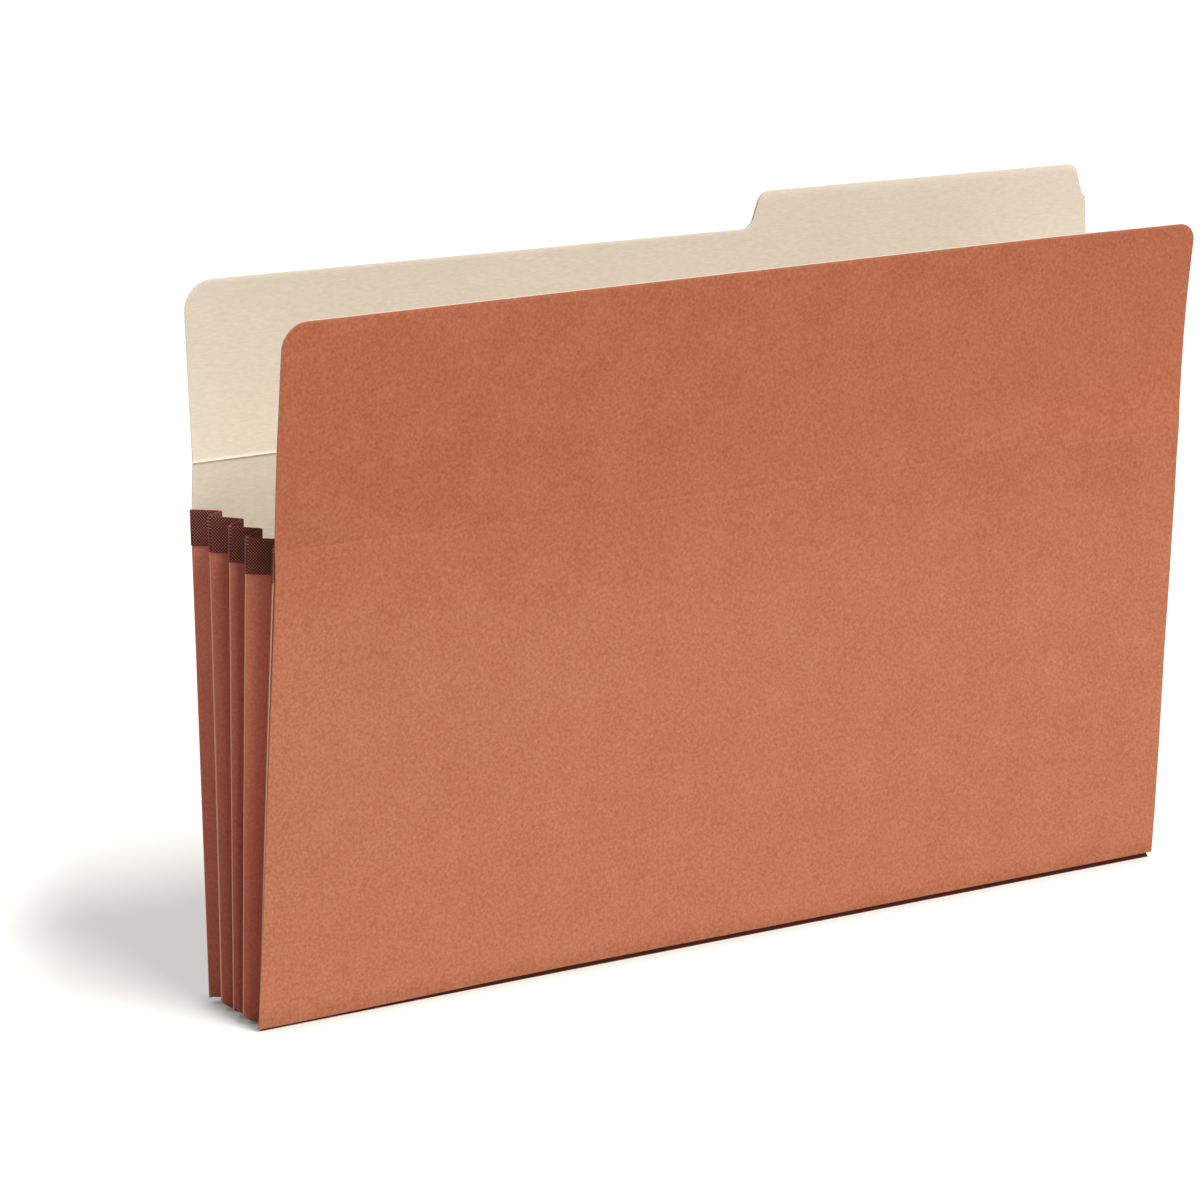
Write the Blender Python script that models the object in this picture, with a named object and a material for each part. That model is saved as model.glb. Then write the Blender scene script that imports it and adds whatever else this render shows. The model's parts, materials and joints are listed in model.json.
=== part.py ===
"""An expanding file pocket: two lined panels joined by a pleated gusset on three sides.

Sizes are in millimetres and degrees. The pocket stands on its bottom edges, with its width along X,
its front towards -Y and its mouth up. The planes of the two panels meet in a line below the floor,
and every fold of the side gussets points at an end of that line, so each pleat stays flat.
"""
import math

import bpy
from mathutils import Matrix, Vector

MM = 0.001

# Panels
PANEL_WIDTH = 374.65
PANEL_HEIGHT = 241.3
FACE_THICK = 0.5
LINING_THICK = 0.35
GLUE_LINE = 0.1
CORNER_RADIUS = 9.0
FRONT_LEAN = 4.3
BACK_LEAN = 2.2

# Score lines, above which each panel folds outwards
FRONT_SCORE = 163.8
BACK_SCORE = 183.5
FRONT_FLAP_LEAN = 1.6
BACK_FLAP_LEAN = 1.6
SCORE_GAP = 0.12
HINGE_GAP = 0.02

# Tab on the back panel
TAB_HEIGHT = 11.8
TAB_START = 221.5
TAB_SHOULDER = 11.0
TAB_SLANT = 1.8
TAB_INSET = 1.6
TAB_RADIUS = 3.0

# Gusset
BASE_DEPTH = 34.9
GUSSET_HEIGHT = 166.5
PLEAT_PAIRS = 4
EXPANSION = 82.6
FOLD_BULGE = 2.6
PAPER_THICK = 0.36
FOLD_CLEARANCE = 0.05
EDGE_INSET = 0.3
PANEL_CLEARANCE = 0.1
BASE_LIFT = 0.6
HEEL_RADIUS = 4.5
MITRE_GAP = 0.45
OPEN_FOLD_TRIM = 2.4

# Tape bound over the top edge of each side pleat
TAPE_HEIGHT = 11.8
TAPE_THICK = 0.2
TAPE_GAP = 0.05

ARC_STEPS = 6

# Colour and roughness of each material
REDROPE = ((0.50, 0.17, 0.09), 0.75)
GUSSET = ((0.26, 0.09, 0.05), 0.8)
MANILA = ((0.86, 0.73, 0.52), 0.7)
TAPE = ((0.07, 0.03, 0.02), 0.9)

# The fan that the panels and folds share
PLEATS = 2 * PLEAT_PAIRS
OPEN_FOLD = PLEAT_PAIRS | 1
PANEL_THICK = PANEL_CLEARANCE + LINING_THICK + GLUE_LINE + FACE_THICK
BACK_TURN = math.radians(BACK_LEAN)
FRONT_TURN = -math.radians(FRONT_LEAN)
FAN = BACK_TURN - FRONT_TURN
APEX_DROP = BASE_DEPTH / (math.tan(BACK_TURN) - math.tan(FRONT_TURN))
BASE_REACH = APEX_DROP / math.cos(BACK_TURN) + BASE_LIFT
TOP_REACH = BASE_REACH + GUSSET_HEIGHT
PLEAT_WIDTH = EXPANSION / PLEATS
PLEAT_ANGLE = 2 * math.asin(PLEAT_WIDTH / 2 / TOP_REACH)
BULGE_ANGLE = math.asin(FOLD_BULGE / TOP_REACH)
APEX_SIDE = PANEL_WIDTH / 2 - EDGE_INSET

# Each pleat is turned a little about its centre line, so that folded pleats lie clear of each other
BARE_OFFSET = PAPER_THICK / 2 + FOLD_CLEARANCE
TAPED_OFFSET = BARE_OFFSET + TAPE_THICK + TAPE_GAP
HALF_ANGLE = math.sin(PLEAT_ANGLE / 2)
BASE_WIDTH = 2 * BASE_REACH * HALF_ANGLE
SLAB_TURN = math.asin(max(
    BARE_OFFSET / (BASE_REACH * HALF_ANGLE),
    TAPED_OFFSET / ((TOP_REACH - TAPE_HEIGHT) * HALF_ANGLE),
))


def fold_slants(inward):
    """How far each side fold leans in from the panel's edge; the outer folds lean out near the front."""
    slants = []
    for index in range(PLEATS + 1):
        if index % 2 == 1:
            slants.append(inward)
        elif index == PLEATS:
            slants.append(0.0)
        else:
            slants.append(-BULGE_ANGLE * index / (PLEATS - 2))
    return slants


def fold_steps(slants):
    """The turn about the apex line from each fold to the next, for pleats of equal angle."""
    steps = []
    for a, b in zip(slants, slants[1:]):
        share = (math.cos(PLEAT_ANGLE) - math.sin(a) * math.sin(b)) / (math.cos(a) * math.cos(b))
        steps.append(math.acos(share))
    return steps


def inward_slant():
    """The inner folds' slant at which the pleats together span the fan, found by halving."""
    low, high = 0.0, PLEAT_ANGLE - BULGE_ANGLE
    for _ in range(60):
        middle = (low + high) / 2
        if sum(fold_steps(fold_slants(middle))) > FAN:
            low = middle
        else:
            high = middle
    return low


SLANTS = fold_slants(inward_slant())
TURNS = [BACK_TURN - sum(fold_steps(SLANTS)[:index]) for index in range(PLEATS + 1)]


def spoke(turn):
    """The unit vector from the line where the panels meet, at an angle from straight up towards +Y."""
    return Vector((0.0, math.sin(turn), math.cos(turn)))


def outward(turn, side):
    """The unit normal away from the pocket's inside of a panel at this turn; side is 1 at the back."""
    return Vector((0.0, side * math.cos(turn), -side * math.sin(turn)))


def panel_reach(turn):
    """How far the panel's bottom edge is from the apex line, so that it stands on the floor."""
    lowest = APEX_DROP + PANEL_THICK * abs(math.sin(turn))
    return lowest / math.cos(turn)


def tip_y(turn, side, score, extra, height):
    """Where the top outer edge of a panel comes along Y, with the apex line at zero."""
    hinge = spoke(turn) * (panel_reach(turn) + score) + outward(turn, side) * PANEL_THICK
    return (hinge + spoke(turn + side * math.radians(extra)) * (height - score)).y


APEX_Y = -0.5 * (
    tip_y(BACK_TURN, 1, BACK_SCORE, BACK_FLAP_LEAN, PANEL_HEIGHT + TAB_HEIGHT)
    + tip_y(FRONT_TURN, -1, FRONT_SCORE, FRONT_FLAP_LEAN, PANEL_HEIGHT)
)
APEX = Vector((0.0, APEX_Y, -APEX_DROP))
WORLD = {}


def clear_scene():
    for item in list(bpy.data.objects):
        bpy.data.objects.remove(item, do_unlink=True)
    for group in list(bpy.data.collections):
        bpy.data.collections.remove(group)


def new_collection(name):
    group = bpy.data.collections.new(name)
    bpy.context.scene.collection.children.link(group)
    return group


def material(name, colour, rough):
    made = bpy.data.materials.new(name)
    made.use_nodes = True
    shader = made.node_tree.nodes["Principled BSDF"]
    shader.inputs["Base Color"].default_value = (*colour, 1.0)
    shader.inputs["Roughness"].default_value = rough
    shader.inputs["Metallic"].default_value = 0.0
    made.diffuse_color = (*colour, 1.0)
    return made


def axes(first, second, third, origin):
    """The matrix with these three columns and this origin."""
    columns = Matrix((first, second, third)).transposed().to_4x4()
    return Matrix.Translation(origin) @ columns


def place(item, matrix, parent):
    """Put an object at a matrix given in millimetres, under a parent that stays where it is."""
    in_metres = Matrix.Translation(matrix.translation * MM) @ matrix.to_3x3().to_4x4()
    WORLD[item.name] = in_metres
    if parent is not None:
        item.parent = parent
        item.matrix_parent_inverse = WORLD[parent.name].inverted()
    item.matrix_basis = in_metres


def empty(name, matrix, parent, group):
    """A joint's home: moving pieces hang on it."""
    item = bpy.data.objects.new(name, None)
    item.empty_display_size = 0.02
    group.objects.link(item)
    place(item, matrix, parent)
    return item


def slab(name, outline, frame, low, high, parent, finish, group):
    """One solid: an outline in a frame's first two axes, from low to high along its third."""
    flat = bpy.data.curves.new(name, "CURVE")
    flat.dimensions = "2D"
    flat.fill_mode = "BOTH"
    flat.extrude = (high - low) / 2 * MM
    line = flat.splines.new("POLY")
    line.points.add(len(outline) - 1)
    for point, (x, y) in zip(line.points, outline):
        point.co = (x * MM, y * MM, 0.0, 1.0)
    line.use_cyclic_u = True
    flat.materials.append(material(name + "_finish", *finish))
    item = bpy.data.objects.new(name, flat)
    group.objects.link(item)
    place(item, frame @ Matrix.Translation((0.0, 0.0, (low + high) / 2)), parent)
    return item


def arc(x, y, radius, start, end):
    """Points on an arc about a centre, with angles in degrees."""
    points = []
    for i in range(ARC_STEPS + 1):
        turn = math.radians(start + (end - start) * i / ARC_STEPS)
        points.append((x + radius * math.cos(turn), y + radius * math.sin(turn)))
    return points


def sheet_outline(low, high):
    half = PANEL_WIDTH / 2
    return [(-half, low), (half, low), (half, high), (-half, high)]


def front_flap_outline(low):
    half = PANEL_WIDTH / 2
    r = CORNER_RADIUS
    top = PANEL_HEIGHT
    points = [(-half, low), (half, low)]
    points += arc(half - r, top - r, r, 0, 90)
    points += arc(-half + r, top - r, r, 90, 180)
    return points


def back_flap_outline(low):
    """The back panel above its score line, with a rounded corner and the tab at the right."""
    half = PANEL_WIDTH / 2
    r = CORNER_RADIUS
    top = PANEL_HEIGHT
    crown = top + TAB_HEIGHT
    right = half - TAB_INSET
    points = [(-half, low), (half, low), (half, top - TAB_INSET), (right, top)]
    points += arc(right - TAB_SLANT - TAB_RADIUS, crown - TAB_RADIUS, TAB_RADIUS, 10, 90)
    steps = 2 * ARC_STEPS
    for i in range(steps + 1):
        share = i / steps
        rise = 0.5 + 0.5 * math.cos(math.pi * share)
        points.append((TAB_START - half + TAB_SHOULDER * (1 - share), top + TAB_HEIGHT * rise))
    points += arc(-half + r, top - r, r, 90, 180)
    return points


def ply_depths():
    """Where the lining and the face lie, counted outwards from the fan's plane."""
    lining = (PANEL_CLEARANCE, PANEL_CLEARANCE + LINING_THICK)
    face = (lining[1] + GLUE_LINE, lining[1] + GLUE_LINE + FACE_THICK)
    return lining, face


def build_panel(name, turn, side, score, extra, flap_outline, root, group):
    """A panel's two plies below its score line and, on their own hinge, the two above it."""
    reach = panel_reach(turn)
    up = spoke(turn)
    out = outward(turn, side)
    level = Vector((-side, 0.0, 0.0))
    frame = axes(level, up, out, APEX + up * reach)
    hinge = APEX + up * (reach + score) + out * (ply_depths()[1][1] + HINGE_GAP)
    fold = empty(name + "_flap_axis", Matrix.Translation(hinge), root, group)
    swing = Matrix.Rotation(-side * math.radians(extra), 4, "X")
    turned = Matrix.Translation(hinge) @ swing @ Matrix.Translation(-hinge) @ frame
    lower = sheet_outline(0.0, score - SCORE_GAP)
    upper = [(-side * x, y) for x, y in flap_outline(score + SCORE_GAP)]
    for ply, depths in zip(("lining", "face"), ply_depths()):
        finish = MANILA if ply == "lining" else REDROPE
        slab(f"{name}_{ply}", lower, frame, *depths, root, finish, group)
        slab(f"{name}_flap_{ply}", upper, turned, *depths, fold, finish, group)


def fold_way(index, mirror):
    """The unit vector along a side fold; even folds are at the outside and odd ones inside."""
    way = spoke(TURNS[index]) * math.cos(SLANTS[index])
    way.x = mirror * math.sin(SLANTS[index])
    return way


def trims(index):
    """How far each long side of a pleat stops short of its fold, as (fold before, fold after)."""
    before = OPEN_FOLD_TRIM if index - 1 == OPEN_FOLD else 0.0
    return before, 0.0


def mitred_end():
    """The end of a pleat that meets another at a corner, from its outer fold to its inner one.

    Pairs of a distance across from the outer fold and one along the fold from the corner: a rounded
    heel, then the cut at 45 degrees where side and bottom pleats meet when they lie folded flat.
    """
    heel = arc(HEEL_RADIUS, HEEL_RADIUS, HEEL_RADIUS, 180, 225)
    return [(x, y + MITRE_GAP) for x, y in heel + [(BASE_WIDTH, BASE_WIDTH)]]


def side_outline(index):
    """A side pleat in its own plane: along the pleat, then across it from the fold before."""
    before, after = trims(index)
    squeeze = math.cos(SLAB_TURN) * HALF_ANGLE
    outer = -1.0 if index % 2 == 1 else 1.0

    def at(reach, share):
        cut = before if share < 0 else after
        return (reach * math.cos(PLEAT_ANGLE / 2), share * (reach * squeeze - cut))

    points = [at(BASE_REACH + rise, outer * (1 - 2 * x / BASE_WIDTH)) for x, rise in mitred_end()]
    return points + [at(TOP_REACH, -outer), at(TOP_REACH, outer)]


def turned_towards(across, normal, target):
    """A pleat's width direction, turned by SLAB_TURN about its length to lie nearer to a target."""
    sign = 1.0 if across.dot(target) * normal.dot(target) > 0 else -1.0
    return across * math.cos(SLAB_TURN) + normal * (sign * math.sin(SLAB_TURN))


def hinge_frame(way, across, point):
    """A home for a moving pleat: its third axis along the fold that it turns about."""
    level = (across - way * across.dot(way)).normalized()
    return axes(level, way.cross(level), way, point)


def chain_order():
    """Pleats in building order, each with the fold that it hangs on and the pleat that carries it."""
    links = [(k, k - 1, k - 1) for k in range(1, OPEN_FOLD + 1)]
    links += [(k, k, k + 1) for k in range(PLEATS, OPEN_FOLD, -1)]
    return links


def build_side(name, mirror, back_root, front_root, group):
    """The pleats of one side, each with its tape, hanging in two chains from back and front."""
    apex = APEX + Vector((-mirror * APEX_SIDE, 0.0, 0.0))
    carriers = {0: back_root, PLEATS + 1: front_root}
    half = PAPER_THICK / 2
    for index, fold, carrier in chain_order():
        first = fold_way(index - 1, mirror)
        second = fold_way(index, mirror)
        along = (first + second).normalized()
        flat = (second - first).normalized()
        across = turned_towards(flat, along.cross(flat), Vector((1.0, 0.0, 0.0)))
        frame = axes(along, across, along.cross(across), apex)
        way = fold_way(fold, mirror)
        home = hinge_frame(way, across, apex + way * (BASE_REACH + GUSSET_HEIGHT / 2))
        axis = empty(f"{name}_pleat_{index}_axis", home, carriers[carrier], group)
        carriers[index] = axis
        slab(f"{name}_pleat_{index}", side_outline(index), frame, -half, half, axis, GUSSET, group)
        build_tape(f"{name}_tape_{index}", index, frame, axis, group)


def build_tape(name, index, frame, axis, group):
    """A strip folded over the pleat's top edge, as one channel."""
    top = TOP_REACH * math.cos(PLEAT_ANGLE / 2)
    inner = PAPER_THICK / 2 + TAPE_GAP
    outer = inner + TAPE_THICK
    crown = top + TAPE_GAP + TAPE_THICK
    foot = top - TAPE_HEIGHT
    channel = [
        (foot, -outer), (crown, -outer), (crown, outer), (foot, outer),
        (foot, inner), (top + TAPE_GAP, inner), (top + TAPE_GAP, -inner), (foot, -inner),
    ]
    before, after = trims(index)
    reach = foot * HALF_ANGLE * math.cos(SLAB_TURN) - FOLD_CLEARANCE
    upright = frame @ Matrix.Rotation(math.radians(-90.0), 4, "X")
    slab(name, channel, upright, before - reach, reach - after, axis, TAPE, group)


def base_fold(index):
    """A point on a bottom fold, at the middle of the pocket; odd folds rise between their neighbours."""
    if index % 2 == 0:
        return APEX + spoke(TURNS[index]) * BASE_REACH
    turn = (TURNS[index - 1] + TURNS[index + 1]) / 2
    half = (TURNS[index - 1] - TURNS[index + 1]) / 2
    rise = math.sqrt(BASE_WIDTH ** 2 - (BASE_REACH * math.sin(half)) ** 2)
    return APEX + spoke(turn) * (BASE_REACH * math.cos(half) + rise)


def base_outline(index):
    """A bottom pleat in its own plane: along the pocket, then across it from the fold before."""
    before, after = trims(index)
    outer = -1.0 if index % 2 == 1 else 1.0
    span = BASE_WIDTH / 2 * math.cos(SLAB_TURN)

    def at(inset, share):
        cut = before if share < 0 else after
        return (APEX_SIDE - inset, share * (span - cut))

    right = [at(inset, outer * (1 - 2 * x / BASE_WIDTH)) for x, inset in mitred_end()]
    return right + [(-x, y) for x, y in reversed(right)]


def build_base(back_root, front_root, group):
    """The bottom pleats, hanging in two chains like those of the sides."""
    carriers = {0: back_root, PLEATS + 1: front_root}
    level = Vector((1.0, 0.0, 0.0))
    half = PAPER_THICK / 2
    for index, fold, carrier in chain_order():
        first = base_fold(index - 1)
        second = base_fold(index)
        flat = (second - first).normalized()
        upright = spoke((TURNS[index - 1] + TURNS[index]) / 2)
        across = turned_towards(flat, level.cross(flat), upright)
        frame = axes(level, across, level.cross(across), (first + second) / 2)
        home = hinge_frame(level, across, base_fold(fold))
        axis = empty(f"bottom_pleat_{index}_axis", home, carriers[carrier], group)
        carriers[index] = axis
        outline = base_outline(index)
        slab(f"bottom_pleat_{index}", outline, frame, -half, half, axis, GUSSET, group)


def main():
    clear_scene()
    group = new_collection("expanding_file_pocket")
    floor_line = APEX + Vector((0.0, 0.0, APEX_DROP))
    back = empty("back_axis", Matrix.Translation(floor_line), None, group)
    front = empty("front_axis", Matrix.Translation(APEX), back, group)
    build_panel(
        "back", BACK_TURN, 1, BACK_SCORE, BACK_FLAP_LEAN, back_flap_outline, back, group
    )
    build_panel(
        "front", FRONT_TURN, -1, FRONT_SCORE, FRONT_FLAP_LEAN, front_flap_outline, front, group
    )
    build_side("left", 1, back, front, group)
    build_side("right", -1, back, front, group)
    build_base(back, front, group)


main()
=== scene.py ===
"""An open expanding file pocket of redrope paper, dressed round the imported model.

Lengths are in metres in the model's own frame: width along X, the front towards -Y, the mouth up.
The panels become continuous sheets that bend at their score lines, and every pleat and length of tape
becomes a strip that curls round the two folds that it lies between.
"""
import json
import math

import bmesh
import bpy
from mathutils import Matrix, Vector

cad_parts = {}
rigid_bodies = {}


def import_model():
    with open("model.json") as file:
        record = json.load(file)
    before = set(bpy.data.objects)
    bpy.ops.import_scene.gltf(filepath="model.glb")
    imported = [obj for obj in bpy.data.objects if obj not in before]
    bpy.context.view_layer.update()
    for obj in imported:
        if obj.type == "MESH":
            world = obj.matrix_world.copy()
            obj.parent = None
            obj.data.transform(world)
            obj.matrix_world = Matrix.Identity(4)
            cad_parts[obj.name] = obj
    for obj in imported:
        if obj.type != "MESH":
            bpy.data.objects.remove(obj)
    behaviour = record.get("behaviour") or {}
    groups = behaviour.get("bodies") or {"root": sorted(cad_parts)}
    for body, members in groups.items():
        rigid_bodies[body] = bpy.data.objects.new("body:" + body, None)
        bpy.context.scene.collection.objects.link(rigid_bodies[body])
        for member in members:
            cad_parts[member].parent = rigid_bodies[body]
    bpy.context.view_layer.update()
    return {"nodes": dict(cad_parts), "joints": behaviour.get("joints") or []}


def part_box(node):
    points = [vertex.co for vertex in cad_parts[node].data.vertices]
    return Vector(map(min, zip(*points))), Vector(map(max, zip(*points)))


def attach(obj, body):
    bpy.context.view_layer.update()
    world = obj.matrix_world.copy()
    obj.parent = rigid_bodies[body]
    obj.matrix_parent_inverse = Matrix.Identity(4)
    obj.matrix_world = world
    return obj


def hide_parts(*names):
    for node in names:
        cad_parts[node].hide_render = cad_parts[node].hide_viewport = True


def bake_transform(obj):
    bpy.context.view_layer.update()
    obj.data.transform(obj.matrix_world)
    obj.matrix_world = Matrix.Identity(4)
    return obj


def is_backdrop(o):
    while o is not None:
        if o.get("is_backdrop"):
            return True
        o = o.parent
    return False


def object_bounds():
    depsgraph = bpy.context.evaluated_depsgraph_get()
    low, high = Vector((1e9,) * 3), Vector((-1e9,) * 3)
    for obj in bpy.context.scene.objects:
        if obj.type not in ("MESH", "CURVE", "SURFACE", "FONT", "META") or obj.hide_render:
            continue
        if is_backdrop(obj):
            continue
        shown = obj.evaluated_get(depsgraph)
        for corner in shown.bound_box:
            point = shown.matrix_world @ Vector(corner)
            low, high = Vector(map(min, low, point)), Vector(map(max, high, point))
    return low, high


bl_info = {
    "name": "Expanding file pocket",
    "version": (1, 0, 0),
    "blender": (4, 5, 0),
    "location": "View3D > Sidebar > Pocket",
    "description": "Sheets, pleats and tape of an expanding file pocket",
    "category": "Object",
}

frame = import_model()

MM = 0.001
JOINTS = {joint["name"]: joint for joint in frame["joints"]}
APEX = Vector(JOINTS["front_swing"]["pos_m"])
HALF_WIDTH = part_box("front_face")[1].x
PLEATS = sum(name.startswith("left_pleat_") for name in frame["nodes"])
ACROSS = Vector((1.0, 0.0, 0.0))

# How far each panel leans outwards at a height: height in mm, then degrees at the left and right edge
FRONT_LEANS = (
    (0.0, 4.3, 4.3),
    (162.3, 4.3, 4.3),
    (165.3, 7.7, -0.9),
    (241.3, 6.8, 9.5),
)
BACK_LEANS = (
    (0.0, 2.2, 2.2),
    (157.0, 2.2, 2.2),
    (163.0, -4.2, 1.2),
    (182.9, -4.2, 1.2),
    (184.1, 4.2, 3.4),
    (253.1, 4.0, 3.4),
)

# How far the front panel's left and right edges bend outwards at a height, all in mm
FRONT_FLARES = (
    (0.0, 0.8, 1.25),
    (15.0, 0.55, 1.3),
    (45.0, 0.0, 0.8),
    (80.0, -0.55, -0.1),
    (110.0, -1.0, -0.45),
    (140.0, -1.55, -1.0),
    (156.0, -1.75, -1.5),
    (172.0, -0.9, -1.35),
    (186.0, -0.45, -1.1),
    (200.0, -0.15, -0.95),
    (241.3, -0.05, -0.6),
)

# How much higher or lower than level each fold of a side gusset ends, in mm
FOLD_TOPS = (0.3, 0.35, 0.85, 0.3, 0.1, -0.3, -1.1, -1.5, -1.6)

# Feet of each pair of side pleats from the back: height, then rise and reach of the heel, in mm
FEET = (
    (1.7, 0.9, 1.2),
    (0.45, 1.8, 4.0),
    (0.1, 2.7, 4.0),
    (0.4, 1.8, 3.0),
)

# How hollow the slope of a heel is; 1 is straight
HEEL_CURVE = 1.3

# Ends of the bottom gusset's folds, outer and inner ones by turns from the back: distance from the
# corner, rise, and how much of the pleats beside it is cut square at the right before the mitre
# starts, in mm. A distance below zero reaches past the corner, at the right only.
BASE_ENDS = ((0.8, 2.6, 0.0), (0.2, 0.0, 0.0)) * (PLEATS // 2) + ((-0.7, 0.0, 2.2),)

# How far from the corner a fold of the bottom gusset starts to rise
BASE_REACH = 12 * MM

# Where no joint ties two side pleats, they run past each other, from some way below their top edge
LAP = 2.2 * MM
LAP_RUN = 5 * MM
TAPE_LAP_START = 4 * MM
PAPER_LAP_START = 8 * MM

# How strongly painted shade darkens the valleys of each pair of side pleats, from the back, and the
# bottom's
VALLEY_SHADES = (0.0, 1.0, 2.2, 0.35)
BASE_VALLEY_SHADE = 1.0

# How far inwards of its straight line each fold of a side gusset is at its top, in mm
FOLD_TUCKS = (0.0, 0.0, -0.6, 0.0, 0.35, 0.0, 1.0, 0.0, 1.5)

# How far inwards the last fold is at its foot, and how far it is pressed forwards, in mm
END_TUCK = -0.7
END_PRESS = 0.1

# Slope of the tab's shoulder, and where the arc of its right corner ends, in degrees
SHOULDER_SLOPE = 68
TAB_ARC_END = 10

# Share of the width, from the left, about which the back panel's top edge tilts
TILT_PIVOT = 0.54

# Share of the width over which the front panel's bottom edge rises from its left corner
LIFT_START = 0.35

# Share of the half width after which the front panel's top edge hangs to the right
DROOP_START = 0.6

# How far below the corner's arc a panel's rows start to follow its top edge
SHAPED_TOP = 6 * MM

# The angle from which an edge is drawn sharp, in degrees
SHARP_ANGLE = 32

# Steps of the meshes
ARC_STEPS = 8
PLAIN_COLUMNS = 44
SHOULDER_STEPS = 4
TAB_END_STEPS = 6
TAIL_STEPS = 3
LEAN_STEP = 0.5 * MM
SCORE_ZONE = 5 * MM
SCORE_STEPS = 20
LOW_STEPS = 22
HIGH_STEPS = 16
TOP_STEPS = 10
CURL_STEPS = 5
FLAT_STEPS = 8
STRIP_ROWS = 24
TAPE_ROWS = 6

# Between which values of a mesh mark each tone of a material grows to its full strength, in mm
# Painted shade: heights over which the face paper is painted darker towards its top
REDROPE_TOP_SHADE = (100.0, 190.0)
# Painted shade: heights over which the lining is painted darker towards its top
MANILA_TOP_SHADE = (175.0, 255.0)
# Painted shade: distances from the outer fold over which the gusset's valleys darken
GUSSET_VALLEY_SHADE = (0.5, 6.0)
# Painted shade: distances from the corner over which the gusset darkens towards its foot
GUSSET_FOOT_SHADE = (440.0, 325.0)
GUSSET_WORN = (0.46, 0.18)
TAPE_WORN = (0.5, 0.2)

# Full strength of the paler tone along worn folds
GUSSET_WEAR = 0.9
TAPE_WEAR = 0.4

# How dark the fibres of a cut edge are, as a share of its colour
EDGE_FIBRE = 0.86

# Spacing of the tape's diagonal rows and of the threads across them, in mm
ROW_SPACING = 0.75
THREAD_SPACING = 0.8

# Length of one turn of a wave texture whose scale is 1
WAVE_TURN = 0.314

# Lamps: a wide one above the front and a small one beside the right edge
LAMP_AIM = Vector((0.0, 0.0, 0.12))
KEY_PLACE = Vector((0.27, -1.08, 1.9))
SIDE_PLACE = Vector((0.75, -0.8, 0.35))
SIDE_SIZE = 0.5

# Where the floor's painted glow turns it to plain white at the left, over the shadow, measured along a
# level direction
FADE_WAY = Vector((-0.876, 0.486, 0.0))
FADE_START = 0.217
FADE_END = 0.293

# The floor's own white where it keeps the shadow, how near to the pocket it darkens, and its half width
FLOOR_GLOW = 0.47
CONTACT_REACH = 10 * MM
FLOOR_REACH = 6.0

# Colour of the floor's own light and of the world
WHITE = (1.0, 1.0, 1.0, 1.0)

# Sockets of a colour mix node
MIX_FACTOR, MIX_A, MIX_B, MIX_RESULT = 0, 6, 7, 2


def linear(code):
    """An sRGB hex colour as linear red, green and blue."""
    parts = [int(code[place:place + 2], 16) / 255 for place in (1, 3, 5)]
    return [part / 12.92 if part <= 0.04045 else ((part + 0.055) / 1.055) ** 2.4 for part in parts]


def amount(name, description, value, **settings):
    """A property that holds one number."""
    return bpy.props.FloatProperty(name=name, description=description, default=value, **settings)


def length(name, description, size):
    """A length property, given in millimetres."""
    return amount(name, description, size * MM, unit="LENGTH", precision=5)


def angle(name, description, degrees):
    """An angle property, given in degrees."""
    return amount(name, description, math.radians(degrees), unit="ROTATION")


def colour(name, description, code):
    """A colour property, given as a hex value."""
    return bpy.props.FloatVectorProperty(
        name=name, description=description, default=linear(code), subtype="COLOR", size=3, min=0, max=1
    )


class PocketPanels(bpy.types.PropertyGroup):
    """Sizes of the two lined panels."""

    height: length("Height", "From the bottom edge to the top edge", 241.3)
    front_dip: length("Front dip", "How much lower the front panel's top edge is", 1.4)
    front_lift: length("Front lift", "How far the front panel's bottom edge rises to the right", 1.2)
    back_lift: length("Back lift", "How far the back panel's bottom edge rises at the left", 1.0)
    front_droop: length("Front droop", "How far the front panel's top right corner hangs", 0.5)
    back_tilt: length("Back tilt", "How much higher the back panel's left end is than its right", 3.5)
    front_score: length("Front score", "Height of the front panel's score line", 163.8)
    back_score: length("Back score", "Height of the back panel's score line", 183.5)
    corner: length("Corner radius", "Radius of the front panel's top left corner", 9.0)
    back_corner: length("Back corner radius", "Radius of the back panel's top left corner", 10.5)
    right_corner: length("Right corner radius", "Radius of the front panel's top right corner", 7.0)
    tab_height: length("Tab height", "How far the tab stands above the top edge", 12.7)
    tab_drop: length("Tab drop", "How far the tab's right end is below its top", 10.7)
    tab_start: length("Tab start", "From the left edge to the foot of the tab's shoulder", 221.5)
    tab_fillet: length("Tab fillet", "Radius at the foot of the tab's shoulder", 5.5)
    tab_shoulder: length("Tab shoulder", "Radius at the top of the tab's shoulder", 6.0)
    tab_slant: length("Tab slant", "How far the tab's right end leans in", 1.8)
    tab_inset: length("Tab inset", "From the right edge to the tab's right end", 1.6)
    tab_radius: length("Tab radius", "Radius of the tab's top right corner", 4.0)
    front_inset: length("Front lining inset", "How far the front lining stops short of the sides", 1.6)
    back_inset: length("Back inset", "How far the back lining stops short of the full width", 0.25)
    back_face_inset: length("Back face inset", "How far the back face is short of full width", 0.85)
    lining_depth: length("Lining depth", "From the gusset's end to the lining", 0.1)
    lining_thick: length("Lining thickness", "Thickness of the manila lining", 0.35)
    face_depth: length("Face depth", "From the gusset's end to the face sheet", 0.55)
    face_thick: length("Face thickness", "Thickness of the redrope face sheet", 0.5)
    edge_round: length("Edge rounding", "Rounding of the cut edges", 0.1)
    crease_width: length("Crease width", "Half the width of the pressed score line", 0.6)
    front_crease: length("Front crease", "Depth of the front panel's pressed score line", 0.1)
    back_crease: length("Back crease", "Height of the ridge pressed into the back panel", 0.3)
    bend: length("Bend", "Half the height over which a flap's bend is spread", 1.0)


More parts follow.
